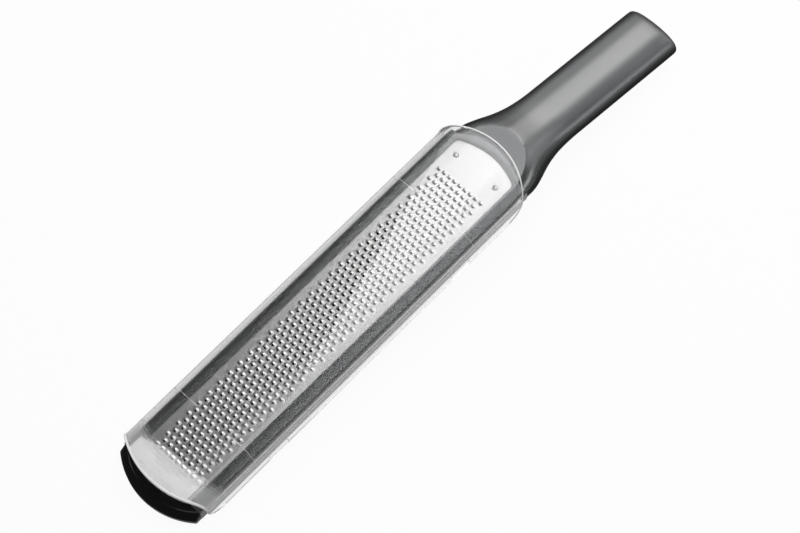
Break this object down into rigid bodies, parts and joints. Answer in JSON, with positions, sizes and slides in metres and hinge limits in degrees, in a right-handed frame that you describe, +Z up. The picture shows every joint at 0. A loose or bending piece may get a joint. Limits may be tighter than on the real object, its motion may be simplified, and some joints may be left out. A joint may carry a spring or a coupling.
{
  "type": "rasp zester",
  "caption": "Long hand rasp with an etched steel blade riveted in a drooping-handled frame, a soft foot at the tip and a clear slide-off cover.",
  "frame": {"origin": "on the table, under the middle of the whole tool's bounding box, with the tool lying teeth up on its butt and on the cover's two tip corners", "axes": "+X from the rubber foot at the tip towards the handle's butt, +Y across the tool to its left seen from the butt, +Z up, out of the teeth but for the 6 degrees by which the tool lies tipped"},
  "size_m": [0.3352, 0.0516, 0.0407],
  "materials": {
    "frame_plastic": "satin anthracite",
    "blade_steel": "etched stainless, satin",
    "foot_rubber": "soft black",
    "clear_plastic": "clear, polished",
    "rivet_steel": "dull grey"
  },
  "bodies": {
    "tool": {"handle_frame": "frame_plastic", "blade": "blade_steel", "foot": "foot_rubber", "rivet_tip_left": "rivet_steel", "rivet_tip_right": "rivet_steel", "rivet_handle_left": "rivet_steel", "rivet_handle_right": "rivet_steel"},
    "cover_shell": {"cover": "clear_plastic"}
  },
  "joints": [
    {"name": "cover_slide", "type": "slide", "parent": "tool", "child": "cover_shell", "axis": [-0.9945, 0, -0.1048], "range_m": [0, 0.2296]}
  ]
}
